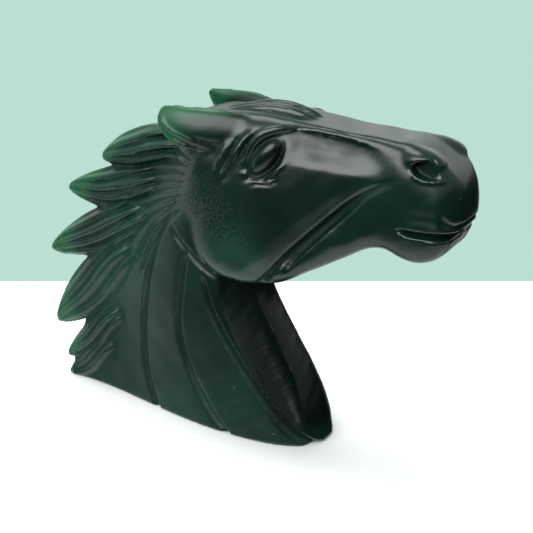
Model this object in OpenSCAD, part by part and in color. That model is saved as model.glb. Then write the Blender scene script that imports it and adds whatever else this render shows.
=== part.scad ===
// Horse head on a flat base, carved from one block of green jade.
// +X points to the nose, +Y to the horse's left, +Z up.
// The origin is the middle of the flat base, on the mid-plane. Millimetres.

/* [Overall] */
// Length of the flat base, back to front
base_len = 87; // [72:1:105]
// Width of the flat base at its widest place
base_w = 23; // [18:0.5:28]
// Height from the base to the crown of the head
crown_h = 92; // [82:1:112]
// Thickness of the neck from flank to flank
neck_w = 28; // [23:0.5:33]

/* [Head] */
// Length of the head from the back of the cheek to the nose
head_len = 82; // [68:1:99]
// Depth of the head from the crown to the bottom of the cheek
head_h = 46; // [38:1:55]
// Width across the cheeks
cheek_w = 31; // [26:0.5:37]
// Width across the narrow part of the snout
snout_w = 21; // [17:0.5:25]
// Width across the nostrils
muzzle_w = 24; // [20:0.5:29]
// Width of the flat top of the nose
bridge_w = 10; // [8:0.5:12]

/* [Face] */
// Length of the eye opening
eye_len = 10; // [8:0.5:12]
// Height of the eye opening
eye_h = 6.5; // [5:0.5:8]
// Height of the open mouth slit
mouth_gap = 2; // [1.4:0.1:2.6]
// How far the mouth slit is cut in from the side
mouth_depth = 5; // [4:0.5:6]
// Diameter of the nostril hollow
nostril_d = 7; // [5.5:0.5:8.5]
// Width of the two cheek grooves
cheek_groove_w = 1.6; // [1.2:0.1:2]

/* [Ears] */
// Length of an ear from root to tip
ear_len = 27; // [22:1:33]
// Height of an ear at its widest place
ear_h = 11; // [9:0.5:13]
// Thickness of an ear
ear_t = 6; // [5:0.5:7.5]
// Distance between the two ear tips
ear_spread = 26; // [22:1:31]

/* [Mane] */
// Length of the longest mane lock
lock_len = 46; // [39:1:55]
// Height of a mane lock at its widest place
lock_h = 13; // [11:0.5:15.5]
// Thickness of a mane lock at its root
lock_t = 22; // [18:0.5:26]
// Thickness of a mane lock near its tip
lock_tip_t = 7; // [6:0.5:8.5]
// Width of the fine grooves between hair strands
strand_w = 1.3; // [1:0.1:1.6]

/* [Neck] */
// Width of the three long neck grooves
neck_groove_w = 2.4; // [2:0.1:2.9]
// Depth of the hollow on each side of the throat
throat_depth = 3; // [2.4:0.1:3.6]

/* [Hidden] */
jade = "#1d3b31";

// Steps round a groove or a bead
bead_fn = 7;
// Steps along the head and up the neck
head_steps = 26;
neck_steps = 16;
// Steps along a lock or an ear, and round it
leaf_steps = 8;
leaf_fn = 12;

head_floor = crown_h - head_h;
// Roundness of a section: 2 is an ellipse, more is squarer
side_power = 2.4;
chin_power = 3;
front_power = 2.6;
back_power = 1.8;
// Where the neck is widest, as a share of its length from the back
widest = 0.75;
// Thickness of the neck where the mane starts
mane_edge_w = 3;
sides = [-1, 1];
// How far towards the tip an ear and a lock are fullest
ear_lean = 1.1;
lock_lean = 1.4;

// Places on the head, as shares of its length and depth
eye_u = 0.4;
eye_v = 0.8;
eye_tilt = 35;
nostril_u = 0.91;
nostril_v = 0.79;
mouth_corner_u = 0.82;
mouth_front_u = 0.97;
mouth_v = 0.48;
mouth_climb = 0.12;
// Cheek grooves: upper end, length along and drop, in the same shares
cheek_groove_u = 0.82;
cheek_groove_v = 0.72;
cheek_groove_run = 0.44;
cheek_groove_drop = 0.66;
cheek_groove_gap = 0.03;

// Head rows: share of the length, then the low, high and widest heights as
// shares of the depth, then the half width
head_rows = [
    [0, 0.43, 0.78, 0.6, 0.1 * cheek_w],
    [0.05, 0.33, 0.89, 0.55, 0.26 * cheek_w],
    [0.11, 0.2, 0.95, 0.5, 0.39 * cheek_w],
    [0.18, 0.075, 0.985, 0.42, 0.47 * cheek_w],
    [0.27, 0, 1, 0.37, 0.5 * cheek_w],
    [0.34, 0.017, 1, 0.37, 0.5 * cheek_w],
    [0.42, 0.045, 0.985, 0.38, 0.48 * cheek_w],
    [0.51, 0.14, 0.957, 0.44, 0.42 * cheek_w],
    [0.61, 0.245, 0.939, 0.5, 0.54 * snout_w],
    [0.7, 0.325, 0.924, 0.55, 0.5 * snout_w],
    [0.76, 0.323, 0.92, 0.57, 0.51 * snout_w],
    [0.82, 0.28, 0.922, 0.58, 0.49 * muzzle_w],
    [0.88, 0.275, 0.9, 0.58, 0.5 * muzzle_w],
    [0.94, 0.337, 0.822, 0.58, 0.45 * muzzle_w],
    [0.98, 0.446, 0.707, 0.58, 0.29 * muzzle_w],
    [1, 0.543, 0.62, 0.58, 0.08 * muzzle_w]
];
// Neck rows: share of the crown height, then the back and front as shares of
// the base length, then how far the width has grown from base to neck
neck_rows = [
    [0, -0.5, 0.5, 0],
    [0.09, -0.48, 0.48, 0.4],
    [0.2, -0.44, 0.426, 0.7],
    [0.33, -0.41, 0.35, 0.9],
    [0.44, -0.39, 0.29, 1],
    [0.6, -0.33, 0.25, 1],
    [0.73, -0.22, 0.24, 0.95],
    [0.87, -0.07, 0.2, 0.4],
    [0.95, 0.04, 0.16, -1.2]
];
// Mane locks: root as shares of base length and crown height, the heading in
// degrees at the root and at the tip, then the length, height and root
// thickness as shares of their full sizes
lock_rows = [
    [0.03, 0.82, 170, 202, 0.71, 0.95, 0.8],
    [-0.05, 0.695, 176, 198, 0.83, 1, 0.9],
    [-0.1, 0.58, 181, 215, 0.94, 1, 0.9],
    [-0.15, 0.49, 197, 242, 1, 1.1, 0.75],
    [-0.2, 0.31, 213, 240, 0.82, 1.1, 0.6]
];
// Long neck grooves: start, bend and end, each as shares of base length and
// crown height
neck_groove_rows = [
    [[0.048, 0.724], [-0.22, 0.334], [-0.068, -0.02]],
    [[0.057, 0.554], [-0.033, 0.288], [0.216, -0.02]],
    [[0.144, 0.5], [0.175, 0.283], [0.46, -0.02]]
];
// Throat hollow: start and end in the same shares
throat_line = [[0.21, 0.47], [0.44, 0.09]];

// Smooth value of one column of a table at x
function row_at(rows, x, i = 0) =
    i >= len(rows) - 2 || x < rows[i + 1][0] ? i : row_at(rows, x, i + 1);
function slope(rows, i, c) =
    let (a = max(i - 1, 0), b = min(i + 1, len(rows) - 1))
    (rows[b][c] - rows[a][c]) / (rows[b][0] - rows[a][0]);
function smooth_value(rows, x, c) =
    let (i = row_at(rows, x), h = rows[i + 1][0] - rows[i][0], t = (x - rows[i][0]) / h)
    (2 * t ^ 3 - 3 * t ^ 2 + 1) * rows[i][c]
    + (t ^ 3 - 2 * t ^ 2 + t) * h * slope(rows, i, c)
    + (3 * t ^ 2 - 2 * t ^ 3) * rows[i + 1][c]
    + (t ^ 3 - t ^ 2) * h * slope(rows, i + 1, c);

// The head's surface: height at share v of the depth, half width at (u, z)
function head_z(v) = head_floor + v * head_h;
function head_low(u) = head_z(smooth_value(head_rows, u, 1));
function head_top(u) = head_z(smooth_value(head_rows, u, 2));
function head_mid(u) = head_z(smooth_value(head_rows, u, 3));
function head_half(u) = smooth_value(head_rows, u, 4);
function head_flat(u) = min(bridge_w / 2, head_half(u) / 2);
function rise(s, power) = (1 - min(s, 1) ^ power) ^ (1 / power);
function head_side(u, z) =
    head_flat(u) + (head_half(u) - head_flat(u)) * (z > head_mid(u)
        ? rise((z - head_mid(u)) / (head_top(u) - head_mid(u)), side_power)
        : rise((head_mid(u) - z) / (head_mid(u) - head_low(u)), chin_power));
// A place on the side of the head, sunk by a depth
function on_head(u, v, side, sunk = 0) =
    [u * head_len, side * (head_side(u, head_z(v)) - sunk), head_z(v)];

// The neck's surface: half width at share t of the length, at height z
function neck_back(z) = base_len * smooth_value(neck_rows, z / crown_h, 1);
function neck_front(z) = base_len * smooth_value(neck_rows, z / crown_h, 2);
function neck_half(z) =
    base_w / 2 + (neck_w - base_w) / 2 * smooth_value(neck_rows, z / crown_h, 3);
function neck_side(t, z) = t > widest
    ? neck_half(z) * rise((t - widest) / (1 - widest), front_power)
    : mane_edge_w / 2 + (neck_half(z) - mane_edge_w / 2) * sin(90 * t / widest) ^ back_power;
// A place on the flank: by share of the neck's length, or by x and z
function on_neck(t, v, side) =
    let (z = v * crown_h)
    [neck_back(z) + t * (neck_front(z) - neck_back(z)), side * neck_side(t, z), z];
function on_flank(x, z, side, sunk = 0) =
    let (h = max(z, 0), t = (x - neck_back(h)) / (neck_front(h) - neck_back(h)))
    [x, side * (neck_side(min(max(t, 0), 0.99), h) - sunk), z];

// Closed solid through rings that have the same number of points
module skin(rings) {
    count = len(rings[0]);
    last = len(rings) - 1;
    polyhedron(
        points = [for (ring = rings) each ring],
        faces = [
            [for (j = [count - 1 : -1 : 0]) j],
            for (i = [0 : last - 1], j = [0 : count - 1])
                let (a = i * count + j, b = i * count + (j + 1) % count)
                each [[a, b, a + count], [b, b + count, a + count]],
            [for (j = [0 : count - 1]) last * count + j]
        ]
    );
}

// Round rod through a list of points that run along the side of the object
module rod(points, d) {
    last = len(points) - 1;
    skin([for (i = [0 : last])
        let (
            run = points[min(i + 1, last)] - points[max(i - 1, 0)],
            across = [-run.z, 0, run.x] / norm([run.x, run.z]),
            r = d / 2 * (i == 0 || i == last ? 0.5 : 1)
        )
        [for (a = [0 : 360 / bead_fn : 359]) points[i] + r * (cos(a) * across + [0, sin(a), 0])]
    ]);
}

module neck() {
    top = neck_rows[len(neck_rows) - 1][0];
    back_t = [0, 0.15, 0.3, 0.45, 0.6];
    front_t = [for (a = [0 : 11.25 : 90]) widest + (1 - widest) * sin(a)];
    round_t = concat(back_t, front_t);
    skin([for (k = [0 : neck_steps]) let (v = top * k / neck_steps) concat(
        [for (t = round_t) on_neck(t, v, 1)],
        [for (i = [len(round_t) - 2 : -1 : 0]) on_neck(round_t[i], v, -1)]
    )]);
}

module head() {
    turn = [for (a = [-90 : 15 : 90]) sin(a)];
    skin([for (k = [0 : head_steps])
        let (
            u = (1 - cos(180 * k / head_steps)) / 2,
            low = head_low(u), top = head_top(u), mid = head_mid(u)
        )
        [for (side = sides, s = turn)
            let (z = side * s > 0 ? mid + side * s * (top - mid) : mid + side * s * (mid - low))
            [u * head_len, -side * head_side(u, z), z]]
    ]);
}

// Leaf-shaped solid along a curved spine: spine points, half height and half
// thickness at each point, and the spine's heading in degrees
module leaf(spine, half_h, half_t, heading) {
    skin([for (i = [0 : len(spine) - 1])
        [for (a = [0 : 360 / leaf_fn : 359])
            spine[i] + [
                -sin(heading[i]) * half_h[i] * cos(a),
                half_t[i] * sin(a),
                cos(heading[i]) * half_h[i] * cos(a)
            ]]
    ]);
}

// Fullness of a leaf at share s from its root; a larger lean puts the widest
// place nearer the tip
function leaf_swell(s, lean) = 0.1 + 0.9 * sin(25 + 155 * s ^ lean) ^ 0.8;

function lock_heading(row, s) = row[2] + (row[3] - row[2]) * s;
// Spine place at share s along a lock, stepping from its root
function lock_place(row, s, n = 8) =
    [row[0] * base_len, 0, row[1] * crown_h]
    + row[4] * lock_len * s / n * sum_steps([for (k = [0.5 : 1 : n])
        let (h = lock_heading(row, s * k / n)) [cos(h), 0, sin(h)]]);
function sum_steps(list, i = 0) =
    i == len(list) - 1 ? list[i] : list[i] + sum_steps(list, i + 1);
function lock_half_t(row, s) =
    (row[6] * lock_t * (1 - s) + lock_tip_t * s) / 2 * leaf_swell(s, lock_lean) ^ 0.5;

module mane_lock(row) {
    shares = [for (k = [0 : leaf_steps]) k / leaf_steps];
    leaf(
        [for (s = shares) lock_place(row, s)],
        [for (s = shares) row[5] * lock_h / 2 * leaf_swell(s, lock_lean)],
        [for (s = shares) lock_half_t(row, s)],
        [for (s = shares) lock_heading(row, s)]
    );
}

// Two strand grooves on each flank of a lock
module strand_grooves(row) {
    for (side = sides, off = [-0.35, 0.3])
        rod([for (s = [0.35 : 0.15 : 0.96])
            let (h = lock_heading(row, s), rim = row[5] * lock_h / 2 * leaf_swell(s, lock_lean))
            lock_place(row, s) + [
                -sin(h) * off * rim,
                side * lock_half_t(row, s) * sqrt(1 - off ^ 2),
                cos(h) * off * rim
            ]], strand_w);
}

// Ears lie back along the mane and open outwards
ear_root = [0.32 * head_len, 0, head_z(0.87)];
function ear_place(s, side) = ear_root + [
    -s * ear_len,
    side * (0.32 * cheek_w + (ear_spread / 2 - 0.32 * cheek_w) * sin(90 * s)),
    0.36 * ear_h * s ^ 5
];
module ear(side, grow = 0, shift = 0) {
    shares = [for (k = [0 : leaf_steps]) k / leaf_steps];
    leaf(
        [for (s = shares) ear_place(s, side) + [0, side * shift, 0]],
        [for (s = shares) max(ear_h / 2 * leaf_swell(s, ear_lean) + grow, 0.3)],
        [for (s = shares) max(ear_t / 2 * leaf_swell(s, ear_lean) + grow, 0.3)],
        [for (s = shares) 180]
    );
}

// Locks of the forelock, lying forward between the ears
module forelock() {
    for (side = sides, k = [0 : 1])
        rod([for (s = [0 : 0.25 : 1])
            let (u = 0.12 + 0.4 * s, y = side * bridge_w * (0.16 + 0.32 * k) * (1 - 0.5 * s))
            [u * head_len, y, head_top(u) - 0.9 + 0.6 * sin(180 * s)]],
            bridge_w * 0.32);
}

// Eye on one side: the hollow, then the eyeball and lids that fill it
function eye_rim(a, side, grow, sunk) =
    let (
        x = (eye_len / 2 + grow) * cos(a),
        z = (eye_h / 2 + grow) * sin(a),
        u = eye_u + (x * cos(eye_tilt) - z * sin(eye_tilt)) / head_len,
        v = eye_v + (x * sin(eye_tilt) + z * cos(eye_tilt)) / head_h
    )
    on_head(u, v, side, sunk);
module eye_hollow(side) {
    hull() for (a = [0 : 45 : 315])
        translate(eye_rim(a, side, -0.4, 0)) sphere(d = 1.8, $fn = bead_fn);
}
module eyeball(side) {
    translate(on_head(eye_u, eye_v, side, eye_h / 2 + 0.6)) rotate([0, -eye_tilt, 0])
        scale([eye_len / eye_h, 1, 1]) sphere(d = eye_h, $fn = 16);
}
module eyelids(side) {
    rod([for (a = [-20 : 25 : 205]) eye_rim(a, side, 0.4, 0.2)], 1.5);
    rod([for (a = [205 : 27 : 340]) eye_rim(a, side, 0.3, 0.2)], 1.1);
}

module nostril_hollow(side) {
    place = on_head(nostril_u, nostril_v, side);
    hull() {
        translate(place) sphere(d = nostril_d * 0.6, $fn = 10);
        translate(place - [nostril_d * 0.5, 0, nostril_d * 0.2]) sphere(d = nostril_d * 0.5, $fn = 10);
    }
}
module nostril_rim(side) {
    rod([for (a = [20 : 32 : 212])
        let (u = nostril_u - 0.025 + 0.045 * cos(a), v = nostril_v + 0.01 + 0.05 * sin(a))
        on_head(u, v, side, 0.4)], 2);
}

// Slit that runs from one mouth corner round the front to the other
module mouth() {
    path = [for (u = [mouth_corner_u : 0.05 : mouth_front_u])
        [u, mouth_v + mouth_climb * (u - mouth_corner_u)]];
    front = path[len(path) - 1];
    for (side = sides, i = [0 : len(path) - 2]) hull() for (k = [i, i + 1], sunk = [-2, mouth_depth])
        translate(on_head(path[k][0], path[k][1], side, sunk))
            sphere(d = mouth_gap * (k == 0 ? 0.4 : 1), $fn = bead_fn);
    hull() for (side = sides, out = [0, 6])
        translate(on_head(front[0], front[1], side, 1) + [out, 0, 0])
            sphere(d = mouth_gap, $fn = bead_fn);
}

// Pair of grooves that part the cheek from the jaw
module cheek_grooves(side) {
    for (shift = [0, 1])
        rod([for (s = [0 : 0.125 : 1 - 0.1 * shift])
            let (
                u = cheek_groove_u - cheek_groove_run * s ^ 0.9 + cheek_groove_gap * shift,
                v = cheek_groove_v - cheek_groove_drop * s ^ 1.35 - cheek_groove_gap * shift
            )
            on_head(u, v, side)], cheek_groove_w * (1 - 0.2 * shift));
}

// Long groove down the flank, on one smooth bend
module neck_groove(row, side) {
    rod([for (s = [0 : 0.1 : 1])
        let (p = (1 - s) ^ 2 * row[0] + 2 * s * (1 - s) * row[1] + s ^ 2 * row[2])
        on_flank(p.x * base_len, p.y * crown_h, side)], neck_groove_w);
}

// Broad hollow between the last neck groove and the front ridge
module throat_hollow(side) {
    for (i = [0 : 3]) hull() for (k = [i, i + 1])
        let (s = k / 4, p = (1 - s) * throat_line[0] + s * throat_line[1], r = 7 - 3.5 * s)
        translate(on_flank(p.x * base_len, p.y * crown_h, side, throat_depth * (1 - 0.7 * s ^ 3) - r))
            sphere(r = r, $fn = 12);
}

module carved_horse_head() {
    color(jade) difference() {
        union() {
            difference() {
                union() {
                    difference() {
                        neck();
                        for (side = sides) throat_hollow(side);
                    }
                    head();
                    for (row = lock_rows) mane_lock(row);
                    for (side = sides) ear(side);
                    forelock();
                }
                for (side = sides) eye_hollow(side);
                for (side = sides) ear(side, -1.2, 3);
            }
            for (side = sides) {
                eyeball(side);
                eyelids(side);
                nostril_rim(side);
            }
        }
        for (side = sides) {
            nostril_hollow(side);
            cheek_grooves(side);
            for (row = neck_groove_rows) neck_groove(row, side);
        }
        for (row = lock_rows) strand_grooves(row);
        mouth();
        translate([-base_len, -base_len, -base_len]) cube([2 * base_len, 2 * base_len, base_len]);
    }
}

carved_horse_head();
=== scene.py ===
"""A horse head carved from one block of dark green jade, on a plain floor.

The stone is sculpted as a distance field in millimetres, as a carver works: rough
forms are joined, then hollows and grooves are cut. One half is carved and mirrored.
"""

import math

import bpy
import numpy as np
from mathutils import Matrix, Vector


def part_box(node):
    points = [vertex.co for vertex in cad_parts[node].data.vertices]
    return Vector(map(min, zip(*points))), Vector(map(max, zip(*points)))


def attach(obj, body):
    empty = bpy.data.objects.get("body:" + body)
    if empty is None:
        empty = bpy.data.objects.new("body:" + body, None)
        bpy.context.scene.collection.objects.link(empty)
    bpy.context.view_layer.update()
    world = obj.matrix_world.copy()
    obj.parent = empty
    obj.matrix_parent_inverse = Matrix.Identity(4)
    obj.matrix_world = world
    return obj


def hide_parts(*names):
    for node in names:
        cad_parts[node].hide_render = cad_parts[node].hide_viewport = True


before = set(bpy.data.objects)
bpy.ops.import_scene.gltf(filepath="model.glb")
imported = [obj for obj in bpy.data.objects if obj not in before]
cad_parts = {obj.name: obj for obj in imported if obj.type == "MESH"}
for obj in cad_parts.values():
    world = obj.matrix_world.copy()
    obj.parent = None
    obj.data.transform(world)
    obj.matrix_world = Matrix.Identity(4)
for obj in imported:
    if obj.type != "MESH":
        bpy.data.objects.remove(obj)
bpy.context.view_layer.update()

import openvdb
from mathutils import Vector

NODE = "carved_horse_head"
LENGTH = 131.6                      # overall length of the carving, mane tip to nose
HEAD_FLOOR = 46.0                   # height of the bottom of the cheek
HEAD_H = 46.0                       # depth of the head, cheek to crown
HEAD_LEN = 82.0                     # back of the cheek to nose

# Grid of the distance field: the near half of the carving, with room round it
VOXEL = 0.5
BAND = 10                           # half width of each distance field, in voxels
LOW = np.round(np.array([-54, -19, -3]) / VOXEL).astype(int)
HIGH = np.round(np.array([87, 1, 98]) / VOXEL).astype(int)
SHAPE = tuple(HIGH - LOW + 1)
XS, YS, ZS = [((LOW[i] + np.arange(SHAPE[i])) * VOXEL).astype(np.float32) for i in range(3)]
GX, GY, GZ = np.meshgrid(XS, YS, ZS, indexing="ij", sparse=True)
SIDE_X, SIDE_Z = np.meshgrid(XS, ZS, indexing="ij", sparse=True)


# ---------------------------------------------------------------- curves

def smooth(points, steps=7):
    """Catmull-Rom curve through given points."""
    p = np.array(points, float)
    p = np.vstack([2 * p[0] - p[1], p, 2 * p[-1] - p[-2]])
    t = (np.arange(steps) / steps)[:, None]
    out = []
    for a, b, c, d in zip(p, p[1:], p[2:], p[3:]):
        out.append(0.5 * (2 * b + (c - a) * t + (2 * a - 5 * b + 4 * c - d) * t**2
                          + (3 * b - a - 3 * c + d) * t**3))
    out.append(p[-2][None])
    return np.vstack(out)


def ramp(x):
    """0 below 0, 1 above 1, smooth between."""
    x = np.clip(x, 0, 1)
    return x * x * (3 - 2 * x)


def table(rows, x):
    """Cubic through the rows' values at x. The first column is the key."""
    rows = np.array(rows, float)
    i = int(np.clip(np.searchsorted(rows[:, 0], x, side="right") - 1, 0, len(rows) - 2))
    key = rows[:, 0]

    def slope(j):
        a, b = max(j - 1, 0), min(j + 1, len(rows) - 1)
        return (rows[b] - rows[a]) / (key[b] - key[a])
    h = key[i + 1] - key[i]
    t = (x - key[i]) / h
    return ((2 * t**3 - 3 * t**2 + 1) * rows[i] + (t**3 - 2 * t**2 + t) * h * slope(i)
            + (3 * t**2 - 2 * t**3) * rows[i + 1] + (t**3 - t**2) * h * slope(i + 1))


# ---------------------------------------------------------------- solids

def from_rings(rings):
    """Distance field of a closed skin over rings of points."""
    rings = np.array(rings, np.float32)
    n, m = rings.shape[:2]
    points = np.vstack([rings.reshape(-1, 3), rings[0].mean(0), rings[-1].mean(0)])
    i, j = np.meshgrid(np.arange(n - 1), np.arange(m), indexing="ij")
    k = (j + 1) % m
    quads = np.stack([i * m + j, i * m + k, (i + 1) * m + k, (i + 1) * m + j], -1)
    j = np.arange(m)
    k = (j + 1) % m
    first = np.stack([j, np.full(m, n * m), k], -1)
    last = np.stack([(n - 1) * m + j, (n - 1) * m + k, np.full(m, n * m + 1)], -1)
    grid = openvdb.FloatGrid.createLevelSetFromPolygons(
        points.astype(np.float32), triangles=np.vstack([first, last]).astype(np.uint32),
        quads=quads.reshape(-1, 4).astype(np.uint32),
        transform=openvdb.createLinearTransform(VOXEL), halfWidth=BAND)
    field = np.zeros(SHAPE, np.float32)
    grid.copyToArray(field, ijk=tuple(int(v) for v in LOW))
    return field


def join(a, b, soft=0.6):
    h = np.clip(0.5 + 0.5 * (b - a) / soft, 0, 1)
    return b + (a - b) * h - soft * h * (1 - h)


def cut(a, b, soft=0.6):
    return -join(-a, b, soft)


def nearby(points, reach):
    """Slices of the grid within reach of some points."""
    p = np.array(points, float)
    low = np.floor((p.min(0) - reach) / VOXEL).astype(int) - LOW
    high = np.ceil((p.max(0) + reach) / VOXEL).astype(int) - LOW + 1
    return tuple(slice(max(a, 0), max(min(b, s), 1)) for a, b, s in zip(low, high, SHAPE))


def tube(points, radii, box):
    """Distance to a round rod whose radius changes along it."""
    line = smooth(np.column_stack([np.array(points, float), radii]), 8)
    gx, gy, gz = GX[box[0]], GY[:, box[1]], GZ[:, :, box[2]]
    best = None
    for a, b in zip(line, line[1:]):
        d = b - a
        px, py, pz = gx - a[0], gy - a[1], gz - a[2]
        t = np.clip((px * d[0] + py * d[1] + pz * d[2]) / max(d[:3] @ d[:3], 1e-6), 0, 1)
        far = np.sqrt((px - t * d[0])**2 + (py - t * d[1])**2 + (pz - t * d[2])**2)
        far = far - (a[3] + t * d[3])
        best = far if best is None else np.minimum(best, far)
    return best


def add_rod(field, points, radii, soft=0.8):
    box = nearby(points, max(radii) + 2 * soft + 1)
    field[box] = join(field[box], tube(points, radii, box), soft)


def cut_rod(field, points, radii, soft=0.8):
    box = nearby(points, max(radii) + 2 * soft + 1)
    field[box] = cut(field[box], tube(points, radii, box), soft)


def ellipsoid(centre, radii, tilt, box):
    """Distance to an ellipsoid turned by tilt degrees in side view."""
    c, s = math.cos(math.radians(tilt)), math.sin(math.radians(tilt))
    px, py, pz = GX[box[0]] - centre[0], GY[:, box[1]] - centre[1], GZ[:, :, box[2]] - centre[2]
    u, v = px * c + pz * s, pz * c - px * s
    a, b, d = radii
    k0 = np.sqrt((u / a)**2 + (py / b)**2 + (v / d)**2)
    k1 = np.sqrt((u / a**2)**2 + (py / b**2)**2 + (v / d**2)**2)
    return k0 * (k0 - 1) / np.maximum(k1, 1e-6)


def add_egg(field, centre, radii, tilt=0.0, soft=1.0):
    box = nearby([centre], max(radii) + 2 * soft)
    field[box] = join(field[box], ellipsoid(centre, radii, tilt, box), soft)


def cut_egg(field, centre, radii, tilt=0.0, soft=1.0):
    box = nearby([centre], max(radii) + 2 * soft)
    field[box] = cut(field[box], ellipsoid(centre, radii, tilt, box), soft)


def cut_pocket(field, centre, radii, tilt, floor, lean, soft):
    """Sinks an oval, seen from the side, down to a flat floor that leans as it runs forward."""
    box = nearby([(centre[0], floor, centre[1])], max(radii) + 2 * soft)
    oval = ellipsoid((centre[0], floor, centre[1]), (radii[0], 1e3, radii[1]), tilt, box)
    depth = GY[:, box[1]] - floor - lean * (GX[box[0]] - centre[0])
    field[box] = cut(field[box], np.maximum(oval, depth), soft)


# ---------------------------------------------------------------- side-view engraving

def side_map(points, steps=7):
    """For each place in side view: distance to the path, signed distance (left of the
    way it runs is positive) and share of the path's length."""
    line = smooth(points, steps)
    lengths = np.hypot(*np.diff(line, axis=0).T)
    total = lengths.sum()
    best = np.full((SHAPE[0], SHAPE[2]), 1e9, np.float32)
    side = np.zeros_like(best)
    share = np.zeros_like(best)
    run = 0.0
    for a, b, length in zip(line, line[1:], lengths):
        dx, dz = (b - a) / max(length, 1e-6)
        px, pz = SIDE_X - a[0], SIDE_Z - a[1]
        t = np.clip(px * dx + pz * dz, 0, length)
        far = np.hypot(px - t * dx, pz - t * dz)
        closer = far < best
        best = np.where(closer, far, best)
        side = np.where(closer, np.sign(dx * pz - dz * px) * far, side)
        share = np.where(closer, (run + t) / total, share)
        run += length
    return best, side, share


def side_facing(field):
    """1 where the surface faces sideways, 0 where it faces up, down, fore or aft."""
    tilt = np.abs(np.gradient(field, VOXEL, axis=1))
    return ramp((tilt - 0.15) / 0.45).astype(np.float32)


def faded(share, ends):
    """0 at both ends of a path, rising to 1 over the given shares of its length."""
    start, stop = [max(end, 1e-3) for end in ends]
    return ramp(share / start) * ramp((1 - share) / stop)


def across(values):
    """A side-view map, repeated over the width of the carving."""
    return values[:, None, :].astype(np.float32)


def engrave(field, points, left, right, depth, ends=(0.2, 0.2), facing=1.0):
    """Cuts a groove with its own slope on each side; negative depth raises a ridge."""
    far, side, share = side_map(points)
    wall = np.where(side > 0, far / left, far / right)
    field += across(depth * np.clip(1 - wall, 0, 1) * faded(share, ends)) * facing


def swell(field, points, width, height, ends=(0.3, 0.3), facing=1.0):
    """Raises (or lowers) a soft rounded ridge along a path."""
    far, _, share = side_map(points)
    field -= across(height * ramp(1 - far / width) * faded(share, ends)) * facing


# ---------------------------------------------------------------- head

HEAD_ROWS = [
    # share of length, low, high and widest heights as shares, half width in mm
    [0, 0.34, 0.78, 0.55, 5],
    [0.05, 0.215, 0.89, 0.5, 9.5],
    [0.11, 0.115, 0.95, 0.45, 12.9],
    [0.18, 0.03, 0.965, 0.4, 14.9],
    [0.27, 0, 0.985, 0.37, 15.6],
    [0.34, 0.012, 0.985, 0.37, 15.5],
    [0.42, 0.04, 0.975, 0.38, 14.9],
    [0.51, 0.125, 0.957, 0.44, 13],
    [0.61, 0.222, 0.94, 0.5, 11.5],
    [0.7, 0.31, 0.933, 0.55, 11],
    [0.76, 0.325, 0.926, 0.57, 11.1],
    [0.82, 0.29, 0.922, 0.58, 11.6],
    [0.88, 0.285, 0.893, 0.58, 11.9],
    [0.94, 0.342, 0.82, 0.58, 10.9],
    [0.975, 0.455, 0.745, 0.58, 8.2],
    [0.993, 0.525, 0.675, 0.58, 5],
    [1, 0.57, 0.62, 0.58, 2.4],
]
TOP_POWER = 2.2                     # roundness of a section: 2 is an ellipse, more is squarer
CHEEK_POWER = 4.4
JAW_POWER = 3.2


def head_ring(u, count=40):
    _, low, high, mid, half = table(HEAD_ROWS, u)
    low, high, mid = [HEAD_FLOOR + HEAD_H * v for v in (low, high, mid)]
    flat = min(6.0, 0.5 * half)
    a = np.radians(np.linspace(90, -90, count))
    below = CHEEK_POWER + (JAW_POWER - CHEEK_POWER) * ramp((u - 0.35) / 0.3)
    power = np.where(a > 0, 2 / TOP_POWER, 2 / below)
    y = flat + (half - flat) * np.cos(a).clip(0) ** power
    z = np.where(a > 0, mid + (high - mid) * np.abs(np.sin(a)) ** power,
                 mid - (mid - low) * np.abs(np.sin(a)) ** power)
    x = np.full(count, u * HEAD_LEN)
    near = np.column_stack([x, -y, z])
    away = np.column_stack([x, y, z])[::-1]
    return np.vstack([near, away])


def head_form():
    shares = np.concatenate([np.linspace(0, 0.9, 46), np.linspace(0.915, 1, 14)])
    return from_rings([head_ring(u) for u in shares])


def nose_flute(field):
    """Shallow flute along the side of the nose, under the edge of its flat top."""
    side = side_facing(field)
    swell(field, [(34, 85.6), (45, 85), (55, 84.1), (67, 83.2)], 5.2, -1.6, (0.3, 0.5), side)
    engrave(field, [(34, 88.5), (44, 87.9), (54, 86.8), (64, 85.2)], 0.7, 3.5, 0.5, (0.2, 0.5),
            side)


def cheek_grooves(field):
    """Two grooves that part the cheek from the jaw bar, and the hollow over the bar."""
    long_line = [(68, 81), (60.5, 77.5), (53, 72), (45.5, 65), (38, 57.5), (33.4, 52.4),
                 (28, 45.8)]
    side = side_facing(field)
    swell(field, long_line, 6, -0.9, (0.4, 0.1), side)
    engrave(field, long_line, 1.5, 1.1, 1.5, (0.35, 0.02), side)
    engrave(field, [(59, 75), (51.5, 69), (44, 61.4), (39.4, 56.4), (35, 50.8)], 1.1, 2.0, 1.4,
            (0.35, 0.2), side)
    swell(field, [(62, 72), (54, 67), (48, 61)], 5, -0.5, (0.4, 0.4), side)


def mouth(field):
    """A lens-shaped slit that runs round the front, and the crease over the upper lip."""
    middle = [(65.8, 67.9), (70, 67.5), (75, 67.4), (79, 67.2), (84, 66.9)]
    far, _, share = side_map(middle)
    half = 0.3 + 0.65 * np.sin(np.pi * np.clip(share, 0, 1) ** 0.7 * 0.75)
    field += across(2.8 * np.clip(1 - far / half, 0, 1) ** 0.7 * ramp(share / 0.2))
    cut_rod(field, [(78, -10, 66.8), (80.3, -5.5, 66.9), (81, 1, 67)], [0.3, 0.9, 1.0], 0.5)
    engrave(field, [(77.4, 74.5), (77.9, 72), (79.2, 70.4), (81.5, 69.9), (84, 69.9)],
            0.5, 1.4, 0.7, (0.4, 0.0))
    swell(field, [(68, 71.5), (74, 72), (79, 71)], 2.5, 0.3)


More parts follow.
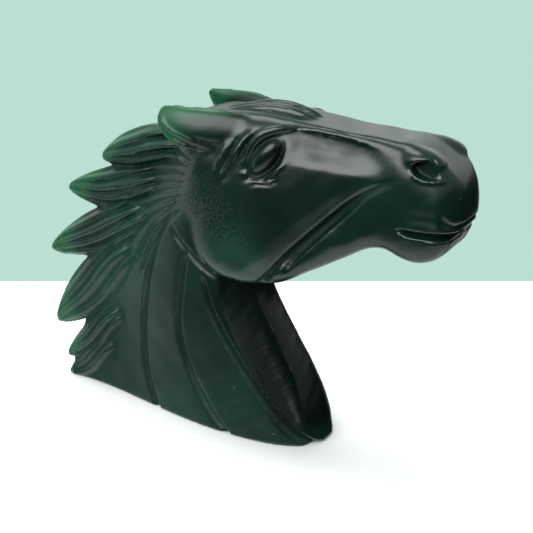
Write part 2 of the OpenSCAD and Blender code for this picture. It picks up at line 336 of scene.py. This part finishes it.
def nostril(field):
    """A shallow scoop, open to the front, under a soft bulge and over a thin rim."""
    add_egg(field, (71.4, -7.2, 84.9), (5.2, 3.4, 2.5), -7, 1.4)
    cut_pocket(field, (74.2, 83.5), (4.9, 2.4), 2, -8.9, -0.25, 0.6)
    engrave(field, [(69.3, 83.8), (70.6, 82), (72.8, 81.2), (76, 81.2), (78.6, 81.6)],
            0.4, 0.8, -0.5, (0.2, 0.2))


def eye(field):
    """A narrow eyeball in a deep socket, under a heavy brow."""
    cut_egg(field, (32.3, -15.4, 82.6), (8.2, 5.0, 3.6), 50, 0.8)
    cut_rod(field, [(36.8, -10.8, 88.2), (37.1, -12.6, 86), (36.6, -13.4, 83), (35, -14, 80.4)],
            [0.5, 1.2, 1.1, 0.6], 0.5)
    add_egg(field, (30.2, -11.2, 81.2), (6.2, 3.2, 2.9), 52, 0.9)
    add_rod(field, [(37, -9, 89.2), (33.6, -10.6, 88.9), (30.2, -11.9, 87.6), (28, -12.9, 85.4),
                    (26.6, -13.6, 82.6), (25.4, -14, 79.6)], [0.6, 1.2, 1.5, 1.2, 0.8, 0.4], 0.4)


def eye_folds(field):
    """Folds that sweep back and down over the temple, the lower lid and its wrinkles."""
    engrave(field, [(28.6, 88.4), (25.8, 85), (23.8, 81.4), (21.8, 77.4), (18.6, 73)],
            0.7, 0.8, 1.0, (0.2, 0.3))
    swell(field, [(26.4, 88), (23.6, 84), (21.2, 79.4)], 1.5, 0.6, (0.2, 0.3))
    engrave(field, [(24, 87.6), (22, 84), (20.2, 80), (17.8, 75.4)], 0.7, 0.9, 0.9, (0.3, 0.3))
    swell(field, [(20.8, 86), (18.8, 81.4), (17, 75)], 1.9, 0.8, (0.3, 0.4))
    engrave(field, [(23.6, 76.6), (27.6, 77.7), (31, 77.9), (34.6, 79.3), (37.4, 82.2)],
            0.8, 0.8, -0.8, (0.25, 0.25))
    engrave(field, [(24.8, 75.4), (28.8, 76.3), (32, 76.3), (35, 77.9)], 0.5, 0.7, 0.5)
    engrave(field, [(26.5, 74.4), (30, 75.1), (33, 75.4), (35.6, 77)], 0.5, 0.7, 0.3)


# ---------------------------------------------------------------- neck

NECK_ROWS = [
    # height, back and front on the mid-plane, half width
    [-3, -43.5, 44.9, 12],
    [0, -43.5, 44, 12.1],
    [8, -42, 42.3, 12.4],
    [18, -38, 37.8, 12.6],
    [30, -35.5, 30.6, 12.7],
    [40, -34, 25.2, 12.6],
    [52, -30, 22.4, 12.5],
    [62, -24, 21, 12.6],
    [71, -17, 20, 12.6],
    [80, -7, 18, 12],
    [88, 6, 14, 7],
]
WIDEST = 0.75                       # where the neck is widest, as a share from the back
BACK_EDGE = 1.4                     # half thickness of the neck where the mane starts
FLANK_POWER = 1.85                  # how late the flanks fill out towards the widest place
FRONT_POWER = 2.5                   # roundness of the front of the neck


def neck_ring(z, count=56):
    _, back, front, half = table(NECK_ROWS, z)
    a = np.linspace(0, 1, count)
    t = np.where(a < 0.6, a / 0.6 * WIDEST, 1 - (1 - WIDEST) * (1 - (a - 0.6) / 0.4) ** 2)
    swelling = np.sin(np.pi / 2 * np.clip(t / WIDEST, 0, 1)) ** FLANK_POWER
    rise = BACK_EDGE + (half - BACK_EDGE) * swelling
    turn = 1 - np.clip((t - WIDEST) / (1 - WIDEST), 0, 1) ** FRONT_POWER
    y = np.where(t < WIDEST, rise, half * turn ** (1 / FRONT_POWER))
    x = back + (front - back) * t
    near = np.column_stack([x, -y, np.full(count, z)])
    away = np.column_stack([x, y, np.full(count, z)])[::-1]
    return np.vstack([near, away[1:]])


def neck_form():
    return from_rings([neck_ring(z) for z in np.linspace(-3, 88, 60)])


# The hollow of the throat, and the groove along it
THROAT_MIDDLE = [(21, -12.6, 54), (24.8, -12.2, 40), (29.6, -11.4, 28), (35.8, -10.6, 16),
                 (40.4, -10, 6)]
THROAT_LINE = [(11, 47), (13.2, 39), (17.5, 31), (23, 23), (29, 15), (35, 7.5), (41, 1.5),
               (45, -2)]


def neck_grooves(field):
    """The three long grooves of the flank, and the crease behind the cheek."""
    first = [(5.5, 72), (2, 65), (-3, 56), (-6.7, 47), (-9.4, 38), (-11.3, 29), (-12, 20),
             (-11.2, 11), (-8, 2), (-6, -4)]
    second = [(6.4, 54), (5.2, 46), (4, 38), (3, 31), (4, 24), (7, 16), (12, 8), (17, 2),
              (22, -3)]
    engrave(field, first, 0.7, 2.0, 1.35, (0.3, 0.0))
    engrave(field, second, 0.7, 2.0, 1.35, (0.12, 0.0))
    engrave(field, THROAT_LINE, 0.8, 1.5, 2.1, (0.1, 0.0))
    engrave(field, [(-0.5, 61), (3, 56), (6.4, 53), (10.3, 50), (14.2, 47.3), (18, 45.4)],
            0.8, 1.6, 0.8, (0.3, 0.3))


def throat(field):
    """The hollow on each side of the throat, between a crisp lip and the rounded front."""
    cut_rod(field, THROAT_MIDDLE, [7.4, 7.2, 6.2, 4.8, 2.4], 0.9)


# ---------------------------------------------------------------- mane

LOCKS = [
    # centre line in side view, half height, half thickness at root and tip, strands
    ([(8, 79.5), (-6, 77.6), (-18, 74.6), (-29.3, 70.9)], 6.2, 9, 4.2, 3.4),
    ([(2, 70), (-12, 65.6), (-27, 61.8), (-41.9, 60.2)], 7.0, 9, 4.0, 4.2),
    ([(-2, 62), (-16, 55.6), (-33, 47.4), (-49.6, 40)], 7.0, 9, 4.0, 4.3),
    ([(-10, 52), (-22, 42), (-35, 29.8), (-49.0, 16.6)], 8.0, 8, 3.8, 3.3),
    ([(-18, 30), (-28, 21), (-37, 12.4), (-45.8, 5.8)], 5.2, 6.5, 3.2, 3.3),
    ([(-22, 18), (-31, 10), (-38, 4), (-45.6, -1)], 5.2, 5.0, 3.0, 2.6),
]


def leaf_share(s, lean=1.3):
    """Height of a lock or an ear along its length: fuller in the middle, blunt tip."""
    wave = np.sin(np.radians(28 + 152 * np.clip(s, 0, 1) ** lean))
    return 0.08 + 0.92 * np.maximum(wave, 0) ** 0.75


def lock(line, half, root, tip, strands):
    """A leaf that tapers in towards its root, with strand grooves on its flank."""
    path = smooth(line, 10)
    run = np.concatenate([[0], np.cumsum(np.hypot(*np.diff(path, axis=0).T))])
    run /= run[-1]
    away = np.gradient(path, axis=0)
    away /= np.linalg.norm(away, axis=1)[:, None]
    a = np.linspace(0, 2 * np.pi, 40, endpoint=False)
    rings = []
    for (x, z), (dx, dz), s in zip(path, away, run):
        up = half * leaf_share(s) * np.sin(a)
        thick = (root + (tip - root) * s ** 0.7) * min(1, 0.1 + 1.2 * (1 - s) ** 0.5)
        out = thick * ramp(s / 0.35 + 0.15) * np.cos(a)
        rings.append(np.column_stack([x - dz * up, out, z + dx * up]))
    field = from_rings(rings)
    _, side, share = side_map(line)
    height = side / (half * leaf_share(share))
    place = (height + 1) / 2 * strands + 0.2 * np.sin(7 * share)
    valley = 1 - np.abs(np.sin(np.pi * place)) ** 0.8
    depth = 1.5 * valley * ramp(share / 0.35) * (0.3 + 0.7 * ramp((1 - share) / 0.35))
    depth *= np.abs(height) < 1.05
    return field + across(depth) * side_facing(field)


FAN = [
    # end of a strand line in side view, and how far its middle bends forward
    (-14, 79, 1.5), (-17, 74, 1), (-19, 69.5, 0.5), (-22, 64.5, 0), (-22, 60, -0.5),
    (-23, 56, -1), (-23, 51, -1.5), (-20, 46.5, -2), (-16, 42, -2), (-13, 40, -1.5),
]
FAN_TOP = 79


def hair_fan(field):
    """Strand lines that spread from under the ear over the side of the neck."""
    for x, z, bend in FAN:
        drop = FAN_TOP - z
        start = (11.5 - 0.16 * drop, 80 - 0.4 * drop)
        middle = (0.5 * (start[0] + x) + bend, 0.5 * (start[1] + z) + 1.5)
        engrave(field, [start, middle, (x, z)], 0.9, 1.4, 0.8, (0.12, 0.15))


# ---------------------------------------------------------------- ears and forelock

EAR_ROWS = [
    # along, middle, low and high edge, half thickness
    [-0.8, -12.9, 88.2, 90.2, 0.5],
    [-0.3, -12.9, 86.6, 91.2, 0.9],
    [2.2, -12.9, 83.3, 91.8, 1.5],
    [6.9, -12.8, 81.4, 92.1, 2.1],
    [12, -12.2, 81, 92.2, 2.6],
    [17, -11.3, 81.1, 92, 2.4],
    [22, -9.9, 82.6, 91.2, 1.6],
    [27, -8, 84.6, 89.8, 0.6],
]
EAR_SECTION = [
    # out from the mid-plane as a share of the thickness, up as a share of the half height
    (0.0, 1.0), (0.55, 0.8), (0.92, 0.35), (0.98, -0.1), (0.72, -0.5), (0.45, -0.85), (0.0, -1),
    (-0.45, -0.85), (-0.8, -0.5), (-0.9, 0), (-0.8, 0.5), (-0.45, 0.85),
]


EAR_TILT = 0.9                      # how far the lower edge stands out past the upper one


def ear():
    """A swept-back leaf with a ridge and strand lines along its outer face."""
    section = smooth(EAR_SECTION + EAR_SECTION[:1], 4)[:-1]
    rings = []
    for x in np.concatenate([np.linspace(-0.9, 1.6, 8), np.linspace(2.4, 27, 36)]):
        _, y, low, high, thick = table(EAR_ROWS, x)
        middle, half = (low + high) / 2, (high - low) / 2
        rings.append(np.column_stack([np.full(len(section), x),
                                      y - thick * section[:, 0] + EAR_TILT * section[:, 1],
                                      middle + half * section[:, 1]]))
    field = from_rings(rings)
    engrave(field, [(0, 89), (3.2, 86.4), (7.6, 84.9), (12.6, 83.2)], 0.5, 0.9, -0.45, (0.1, 0.3))
    engrave(field, [(2.4, 85.6), (6, 83.6), (10, 82.6), (14.6, 81.6)], 0.5, 0.5, 0.6, (0.2, 0.2))
    engrave(field, [(8, 85.6), (12.4, 84.6), (17, 83.8), (21, 84)], 0.5, 0.5, 0.4, (0.3, 0.3))
    return field


FORELOCK = [
    # points along a strand, then its radius at each
    ([(2, 0, 84), (12, 0, 88.2), (22, 0.2, 90.6), (31, 0.6, 90.9), (40, 1, 89), (50, 1.2, 85.6)],
     [1.4, 1.9, 1.9, 1.6, 1.1, 0.3]),
    ([(4, -2.9, 84.6), (13, -3.2, 88.2), (22, -3, 90.9), (30, -2.4, 91.7), (37, -1.8, 90.6),
      (44, -1.2, 87.6)],
     [1.3, 1.7, 1.6, 1.4, 1.0, 0.3]),
    ([(8, -5.6, 86), (16, -6, 88.6), (24, -5.4, 90), (32, -4.4, 90.2), (40, -3.4, 88.4),
      (48, -2.6, 85.4)],
     [1.3, 1.5, 1.4, 1.2, 0.9, 0.3]),
]


def forelock(field):
    """Strands that rise between the ears and lie forward over the forehead."""
    for points, radii in FORELOCK:
        add_rod(field, points, radii, 0.25)


# ---------------------------------------------------------------- whole carving

def sculpt():
    """The near half of the carving, and its head alone."""
    head = head_form()
    nose_flute(head)
    cheek_grooves(head)
    nostril(head)
    mouth(head)
    eye_folds(head)
    eye(head)
    neck = neck_form()
    neck_grooves(neck)
    throat(neck)
    mane = None
    for row in LOCKS[::-1]:
        leaf = lock(*row)
        mane = leaf if mane is None else join(mane, leaf, 0.5)
    # The head meets the neck at a crisp edge low down and runs into it under the ears
    soft = across(0.6 + 3 * ramp((SIDE_Z - 60) / 8))
    body = join(neck, mane, 1.0)
    body = join(body, head, soft)
    hair_fan(body)
    forelock(body)
    body = join(body, ear(), 0.8)
    return cut(body, GZ, 0.5), head


def mirrored(field):
    mid = -LOW[1]
    near = field[:, :mid + 1]
    return np.concatenate([near, near[:, -2::-1]], axis=1)


WAVE_HEIGHT = 0.05


def undulate(field):
    """Slow waves left by hand polishing, different on the two sides."""
    y = ((LOW[1] + np.arange(field.shape[1])) * VOXEL)[None, :, None]
    wave = np.sin(GX * 0.47 + y * 0.31 + 1) * np.sin(GZ * 0.53 - y * 0.27)
    wave = wave + 0.6 * np.sin(GX * 0.83 - GZ * 0.61 + y * 0.7) * np.sin(GZ * 0.71 + 2)
    return field + (WAVE_HEIGHT * wave * ramp(GZ / 4)).astype(np.float32)


def sample(values, points):
    """Trilinear value of a dense array at points in millimetres."""
    p = points / VOXEL - LOW
    top = np.array(values.shape) - 2
    i = np.clip(np.floor(p).astype(int), 0, top)
    f = np.clip(p - i, 0, 1)
    out = 0
    for corner in range(8):
        step = np.array([corner & 1, corner >> 1 & 1, corner >> 2 & 1])
        weight = np.prod(np.where(step, f, 1 - f), axis=1)
        j = i + step
        out = out + weight * values[j[:, 0], j[:, 1], j[:, 2]]
    return out


def blurred(values, reach):
    """Mean over a cube of side 2 reach + 1 voxels, done twice."""
    for axis in [0, 1, 2, 0, 1, 2]:
        pad = [(reach + 1, reach) if a == axis else (0, 0) for a in range(3)]
        total = np.cumsum(np.pad(values, pad, mode="edge"), axis=axis, dtype=np.float64)
        count = total.shape[axis]
        high = np.take(total, range(2 * reach + 1, count), axis=axis)
        low = np.take(total, range(count - 2 * reach - 1), axis=axis)
        values = ((high - low) / (2 * reach + 1)).astype(np.float32)
    return values


def skin_of(field):
    """Closed skin of a distance field: its points in millimetres, triangles and quads."""
    grid = openvdb.FloatGrid()
    grid.transform = openvdb.createLinearTransform(VOXEL)
    grid.background = BAND * VOXEL
    grid.copyFromArray(np.ascontiguousarray(field), ijk=tuple(int(v) for v in LOW), tolerance=0.0)
    return grid.convertToPolygons(isovalue=0.0, adaptivity=0.0)


# ---------------------------------------------------------------- where the stone changes

THIN_REACH = 8                      # how far round a point its thickness is judged, in voxels
HOLLOW_REACH = 2                    # the same for how hollow the surface is


def thin_and_hollow(field, points):
    """How thin the stone is behind each point, and how far the point lies in a groove."""
    x, z = points[:, 0], points[:, 2]
    stone = np.clip(0.5 - field / VOXEL, 0, 1).astype(np.float32)
    filled = sample(blurred(stone, THIN_REACH), points)
    mane = ramp((4 - x) / 12)
    ears = ramp((z - 78) / 6) * ramp((34 - x) / 12)
    # the thin mark paints a green glow, standing in for light that passes through thin stone
    thin = ramp((0.44 - filled) / 0.26) * ramp(z / 12) * np.maximum(mane, ears)
    hollow = -sample(blurred(field, HOLLOW_REACH), points)
    return {"thin": thin, "cavity": np.clip(hollow / 0.25, -1, 1)}


def around(points, x, z, reach):
    """1 at a place in side view, fading to 0 at a reach from it."""
    return ramp(1 - np.hypot(points[:, 0] - x, points[:, 2] - z) / reach)


def at_side(values, points):
    """Values of a side-view map at points in millimetres."""
    i = np.clip(np.round(points[:, 0] / VOXEL).astype(int) - LOW[0], 0, SHAPE[0] - 1)
    k = np.clip(np.round(points[:, 2] / VOXEL).astype(int) - LOW[2], 0, SHAPE[2] - 1)
    return values[i, k]


def zones(head, points):
    """Where the stone gets painted shade, a satin finish, a painted sheen or dust."""
    x, y, z = points.T
    neck = ramp(sample(head, np.column_stack([x, -np.abs(y), z])) / 2)
    behind_throat = ramp(0.5 - at_side(side_map(THROAT_LINE)[1], points) / 2)
    flank = neck * behind_throat
    hollow = side_map([(p[0], p[2]) for p in THROAT_MIDDLE])[0]
    # Painted shade: the floor of the throat hollow and the eye socket are darkened in colour and gloss.
    throat_painted_shade = ramp(2 - at_side(hollow, points) / 4.5) * neck * ramp(z / 8)
    socket = 0.6 * around(points, 33, 82.6, 7) * (np.abs(y) > 8)
    ears = ramp((24 - x) / 6) * ramp((z - 80) / 2)
    # Painted reflection of the table on the lower cheek lobe.
    cheek_lobe_sheen = around(points, 22, 50, 16) * (1 - neck)
    cheek_dust = around(points, 8, 68, 17) + 0.6 * around(points, 20, 62, 14)
    return {
        "deep": np.maximum(throat_painted_shade, socket),
        "satin": np.maximum(flank, ears),
        # Painted sheen: the neck flank is lighter towards the back and the cheek lobe is lighter,
        # standing in for reflections of the room and table.
        "pale": np.clip(flank * (0.8 - 0.65 * ramp((x + 20) / 45)) + 1.6 * cheek_lobe_sheen, 0, 1),
        "dust": np.clip(cheek_dust, 0, 1),
    }


def make_piece(name, skin, marks):
    points, tris, quads = skin
    low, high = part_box(NODE)
    unit = (high.x - low.x) / LENGTH
    faces = [tuple(int(i) for i in face[::-1]) for part in (quads, tris) for face in part]
    mesh = bpy.data.meshes.new(name)
    mesh.from_pydata((points * unit).tolist(), [], faces)
    mesh.update()
    for label, values in marks.items():
        layer = mesh.attributes.new(label, "FLOAT", "POINT")
        layer.data.foreach_set("value", np.ascontiguousarray(values, np.float32))
    mesh.shade_smooth()
    piece = bpy.data.objects.new(name, mesh)
    bpy.context.scene.collection.objects.link(piece)
    return piece


# ---------------------------------------------------------------- shader graphs

class Graph:
    """A cleared node tree, with a short call for each kind of node that is used here."""

    def __init__(self, tree):
        tree.nodes.clear()
        self.new = tree.nodes.new
        self.link = tree.links.new

    def feed(self, socket, value):
        """Links a node's output to a socket, or sets the socket to a plain value."""
        if isinstance(value, bpy.types.NodeSocket):
            self.link(value, socket)
        elif isinstance(value, tuple):
            socket.default_value = (*value, 1)
        else:
            socket.default_value = value

    def step(self, value, start, stop):
        """0 at start, 1 at stop, smooth between."""
        node = self.new("ShaderNodeMapRange")
        node.interpolation_type = "SMOOTHSTEP"
        for i, v in enumerate((value, start, stop)):
            self.feed(node.inputs[i], v)
        return node.outputs[0]

    def times(self, a, b):
        node = self.new("ShaderNodeMath")
        node.operation = "MULTIPLY"
        self.link(a, node.inputs[0])
        self.link(b, node.inputs[1])
        return node.outputs[0]

    def mix(self, factor, a, b):
        """Colour between a and b."""
        node = self.new("ShaderNodeMix")
        node.data_type = "RGBA"
        for i, v in ((0, factor), (6, a), (7, b)):
            self.feed(node.inputs[i], v)
        return node.outputs[2]

    def blend(self, factor, a, b):
        """Number between a and b."""
        node = self.new("ShaderNodeMix")
        for i, v in ((0, factor), (2, a), (3, b)):
            self.feed(node.inputs[i], v)
        return node.outputs[0]

    def mark(self, label):
        """One of the marks that the mesh carries."""
        node = self.new("ShaderNodeAttribute")
        node.attribute_name = label
        return node.outputs["Fac"]

    def part(self, vector, axis):
        node = self.new("ShaderNodeSeparateXYZ")
        self.link(vector, node.inputs[0])
        return node.outputs[axis]

    def along(self, vector, way):
        """How far a vector points a given way."""
        node = self.new("ShaderNodeVectorMath")
        node.operation = "DOT_PRODUCT"
        self.link(vector, node.inputs[0])
        node.inputs[1].default_value = way
        return node.outputs["Value"]

    def noise(self, place, scale, detail, rough=0.5):
        node = self.new("ShaderNodeTexNoise")
        for name, v in (("Vector", place), ("Scale", scale), ("Detail", detail), ("Roughness", rough)):
            self.feed(node.inputs[name], v)
        return node.outputs["Fac"]

    def flecks(self, place, scale, size):
        """Small round spots, on about a third of the cells of a fine lattice."""
        node = self.new("ShaderNodeTexVoronoi")
        self.feed(node.inputs["Vector"], place)
        self.feed(node.inputs["Scale"], scale)
        keep = self.step(self.part(node.outputs["Color"], 0), 0.66, 0.68)
        return self.times(keep, self.step(node.outputs["Distance"], size, 0.6 * size))


# ---------------------------------------------------------------- material

DARK_STONE = (0.0005, 0.009, 0.0055), (0.002, 0.021, 0.013)     # two tones of one cloud
# colours of the painted sheen on the neck flank and the cheek lobe
PAINTED_SHEEN = (0.004, 0.026, 0.018), (0.008, 0.046, 0.032)
# green glow painted where the stone is thin
PAINTED_THIN_GLOW = (0.008, 0.08, 0.033)
# near-black colour of the painted shade in the throat hollow and the eye socket
PAINTED_SHADE = (0.0003, 0.0045, 0.0032)
FLECK = (0.06, 0.1, 0.075)
DUST = (0.04, 0.058, 0.047)
POLISHED, SATIN, MATT = 0.27, 0.34, 0.5                         # roughness
# the gloss is lowered where shade is painted, in the throat hollow and the eye socket
GLOSS, SATIN_GLOSS, PAINTED_SHADE_GLOSS, GROOVE_GLOSS = 0.5, 0.38, 0.3, 0.2
JADE_IOR = 1.6


def stone_colour(graph, place):
    cloud = graph.step(graph.noise(place, 38, 3), 0.35, 0.68)
    # painted sheen on the neck flank and the cheek lobe
    colour = graph.mix(graph.mark("pale"), graph.mix(cloud, *DARK_STONE), graph.mix(cloud, *PAINTED_SHEEN))
    # painted glow where the stone is thin
    colour = graph.mix(graph.step(graph.mark("thin"), 0.1, 1.0), colour, PAINTED_THIN_GLOW)
    patches = graph.step(graph.noise(place, 45, 2), 0.5, 0.6)
    colour = graph.mix(graph.times(graph.flecks(place, 420, 0.13), patches), colour, FLECK)
    powder = graph.step(graph.noise(place, 1700, 4, 0.7), 0.42, 0.75)
    colour = graph.mix(graph.times(graph.mark("dust"), powder), colour, DUST)
    # painted shade in the throat hollow and the eye socket
    return graph.mix(graph.mark("deep"), colour, PAINTED_SHADE)


def jade():
    """Dark polished stone: satin on the flanks, matt in the grooves, with a green glow painted where
    thin, a painted sheen on the neck flank and cheek lobe, and painted shade in the throat hollow and
    eye socket.
    """
    material = bpy.data.materials.new("jade")
    material.use_nodes = True
    graph = Graph(material.node_tree)
    place = graph.new("ShaderNodeTexCoord").outputs["Object"]
    rough = graph.blend(graph.mark("satin"), POLISHED, SATIN)
    rough = graph.blend(graph.step(graph.mark("cavity"), 0.15, 0.8), rough, MATT)
    gloss = graph.blend(graph.mark("satin"), GLOSS, SATIN_GLOSS)
    # less gloss under the painted shade
    gloss = graph.blend(graph.mark("deep"), gloss, PAINTED_SHADE_GLOSS)
    gloss = graph.blend(graph.step(graph.mark("cavity"), 0.1, 0.9), gloss, GROOVE_GLOSS)
    shader = graph.new("ShaderNodeBsdfPrincipled")
    for name, value in (("Base Color", stone_colour(graph, place)), ("Roughness", rough),
                        ("Specular IOR Level", gloss), ("IOR", JADE_IOR)):
        graph.feed(shader.inputs[name], value)
    graph.link(shader.outputs[0], graph.new("ShaderNodeOutputMaterial").inputs[0])
    return material


# ---------------------------------------------------------------- stage

AZIMUTH = math.radians(29)          # where the camera stands, seen from the carving
ELEVATION = math.radians(20.4)
DISTANCE = 0.333
TARGET = Vector((0.0242, 0, 0.0472))
LENS = 82.7
SENSOR = 36
FLOOR_HALF = 0.111                  # the table ends behind the carving
TABLE = (0.87, 0.91, 0.9)
WALL = (0.5, 0.74, 0.65)


def table_top():
    """A square of pale table, in line with the camera."""
    half = FLOOR_HALF
    mesh = bpy.data.meshes.new("floor")
    mesh.from_pydata([(-half, -half, 0), (half, -half, 0), (half, half, 0), (-half, half, 0)],
                     [], [(0, 1, 2, 3)])
    plane = bpy.data.objects.new("floor", mesh)
    bpy.context.scene.collection.objects.link(plane)
    plane.location = (TARGET.x, TARGET.y, 0)
    plane.rotation_euler = (0, 0, AZIMUTH)
    plane.visible_glossy = False
    material = bpy.data.materials.new("floor")
    material.use_nodes = True
    graph = Graph(material.node_tree)
    shader = graph.new("ShaderNodeBsdfPrincipled")
    graph.feed(shader.inputs["Base Color"], TABLE)
    graph.feed(shader.inputs["Roughness"], 0.6)
    graph.link(shader.outputs[0], graph.new("ShaderNodeOutputMaterial").inputs[0])
    mesh.materials.append(material)


def area_light(name, place, aim, size, power, colour=(1, 1, 1)):
    lamp = bpy.data.lights.new(name, "AREA")
    lamp.shape = "RECTANGLE"
    lamp.size, lamp.size_y = size
    lamp.energy = power
    lamp.color = colour
    obj = bpy.data.objects.new(name, lamp)
    bpy.context.scene.collection.objects.link(obj)
    obj.location = place
    obj.visible_camera = False
    obj.rotation_euler = (Vector(place) - Vector(aim)).to_track_quat("Z", "Y").to_euler()
    return obj


def studio_tones(graph, way):
    """What the stone mirrors: a bright strip behind, a dull sky, a table and a dark flag."""
    height = graph.part(way, 2)
    behind = graph.step(graph.along(way, (-0.45, 0.88, 0)), 0.3, 0.8)
    horizon = graph.mix(behind, (0.4, 0.42, 0.41), (1.1, 1.15, 1.11))
    sky = graph.mix(graph.step(height, 0.3, 0.75), horizon, (0.33, 0.35, 0.34))
    ground = graph.mix(graph.step(height, -0.4, -0.75), (0.52, 0.56, 0.54), (1.0, 1.06, 1.04))
    tone = graph.mix(graph.step(height, 0.15, -0.05), sky, ground)
    flag = graph.times(graph.step(graph.along(way, (0.85, -0.53, 0)), -0.6, -0.35),
                       graph.times(graph.step(height, -0.8, -0.45), graph.step(height, 0.25, 0.05)))
    return graph.mix(flag, tone, (0.01, 0.012, 0.011))


def studio_world():
    """Lights the carving with the studio's tones, and shows the camera a plain wall."""
    world = bpy.data.worlds.new("studio")
    bpy.context.scene.world = world
    world.use_nodes = True
    graph = Graph(world.node_tree)
    way = graph.new("ShaderNodeTexCoord").outputs["Generated"]
    light = graph.new("ShaderNodeBackground")
    graph.feed(light.inputs[0], studio_tones(graph, way))
    wall = graph.new("ShaderNodeBackground")
    graph.feed(wall.inputs[0], WALL)
    both = graph.new("ShaderNodeMixShader")
    seen = graph.new("ShaderNodeLightPath").outputs["Is Camera Ray"]
    for i, value in enumerate((seen, light.outputs[0], wall.outputs[0])):
        graph.link(value, both.inputs[i])
    graph.link(both.outputs[0], graph.new("ShaderNodeOutputWorld").inputs[0])


def lights():
    studio_world()
    bpy.context.scene.view_settings.view_transform = "Standard"
    overhead = area_light("overhead", (-0.1, 0.1, 0.8), (0.02, 0, 0.05), (0.5, 0.5), 6.5,
                          (1, 0.98, 0.95))
    overhead.visible_glossy = False
    area_light("key", (-0.157, 0.05, 0.514), (0.05, 0, 0.085), (0.2, 0.2), 0.5)
    area_light("front", (-0.09, -0.65, 0.52), (0.03, 0, 0.06), (0.9, 0.55), 7)


def camera():
    back = Vector((math.sin(AZIMUTH) * math.cos(ELEVATION),
                   -math.cos(AZIMUTH) * math.cos(ELEVATION), math.sin(ELEVATION)))
    data = bpy.data.cameras.new("camera")
    data.lens = LENS
    data.sensor_width = SENSOR
    obj = bpy.data.objects.new("camera", data)
    obj.location = TARGET + back * DISTANCE
    obj.rotation_euler = back.to_track_quat("Z", "Y").to_euler()
    bpy.context.scene.collection.objects.link(obj)
    bpy.context.scene.camera = obj


# ---------------------------------------------------------------- scene

camera()
lights()
table_top()
near_half, near_head = sculpt()
carving = undulate(mirrored(near_half))
skin = skin_of(carving)
marks = {**thin_and_hollow(carving, skin[0]), **zones(near_head, skin[0])}
horse = make_piece("jade_horse_head", skin, marks)
horse.data.materials.append(jade())
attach(horse, "root")
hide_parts(NODE)
